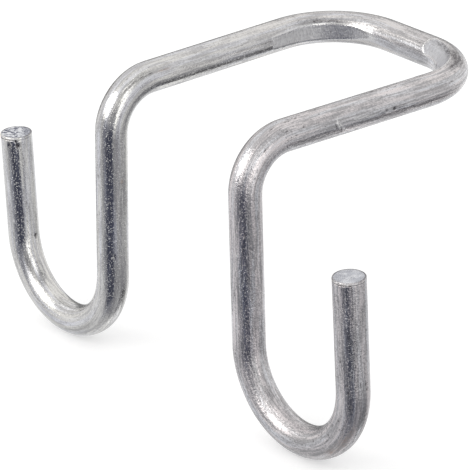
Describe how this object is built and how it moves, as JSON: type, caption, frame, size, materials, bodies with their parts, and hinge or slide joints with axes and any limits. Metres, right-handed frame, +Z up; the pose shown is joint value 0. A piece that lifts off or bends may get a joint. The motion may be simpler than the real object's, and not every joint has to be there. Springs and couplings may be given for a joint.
{
  "type": "ladder hook",
  "caption": "One-piece bent steel rod: a level loop that goes round a ladder's side rail, with an upturned outward hook below each front corner for hanging tools.",
  "frame": {"origin": "inner side of the rear bar, halfway along it, at the height of the rod's centreline", "axes": "+X along the rear bar, +Y from the hooks at the front to the rear bar, +Z up as the hook hangs, across the level loop"},
  "size_m": [0.1357, 0.083, 0.0755],
  "materials": {
    "zinc_plated_steel": "satin zinc plate with drawing lines along the rod"
  },
  "bodies": {
    "root": {"hook_rod": "zinc_plated_steel"}
  },
  "joints": []
}
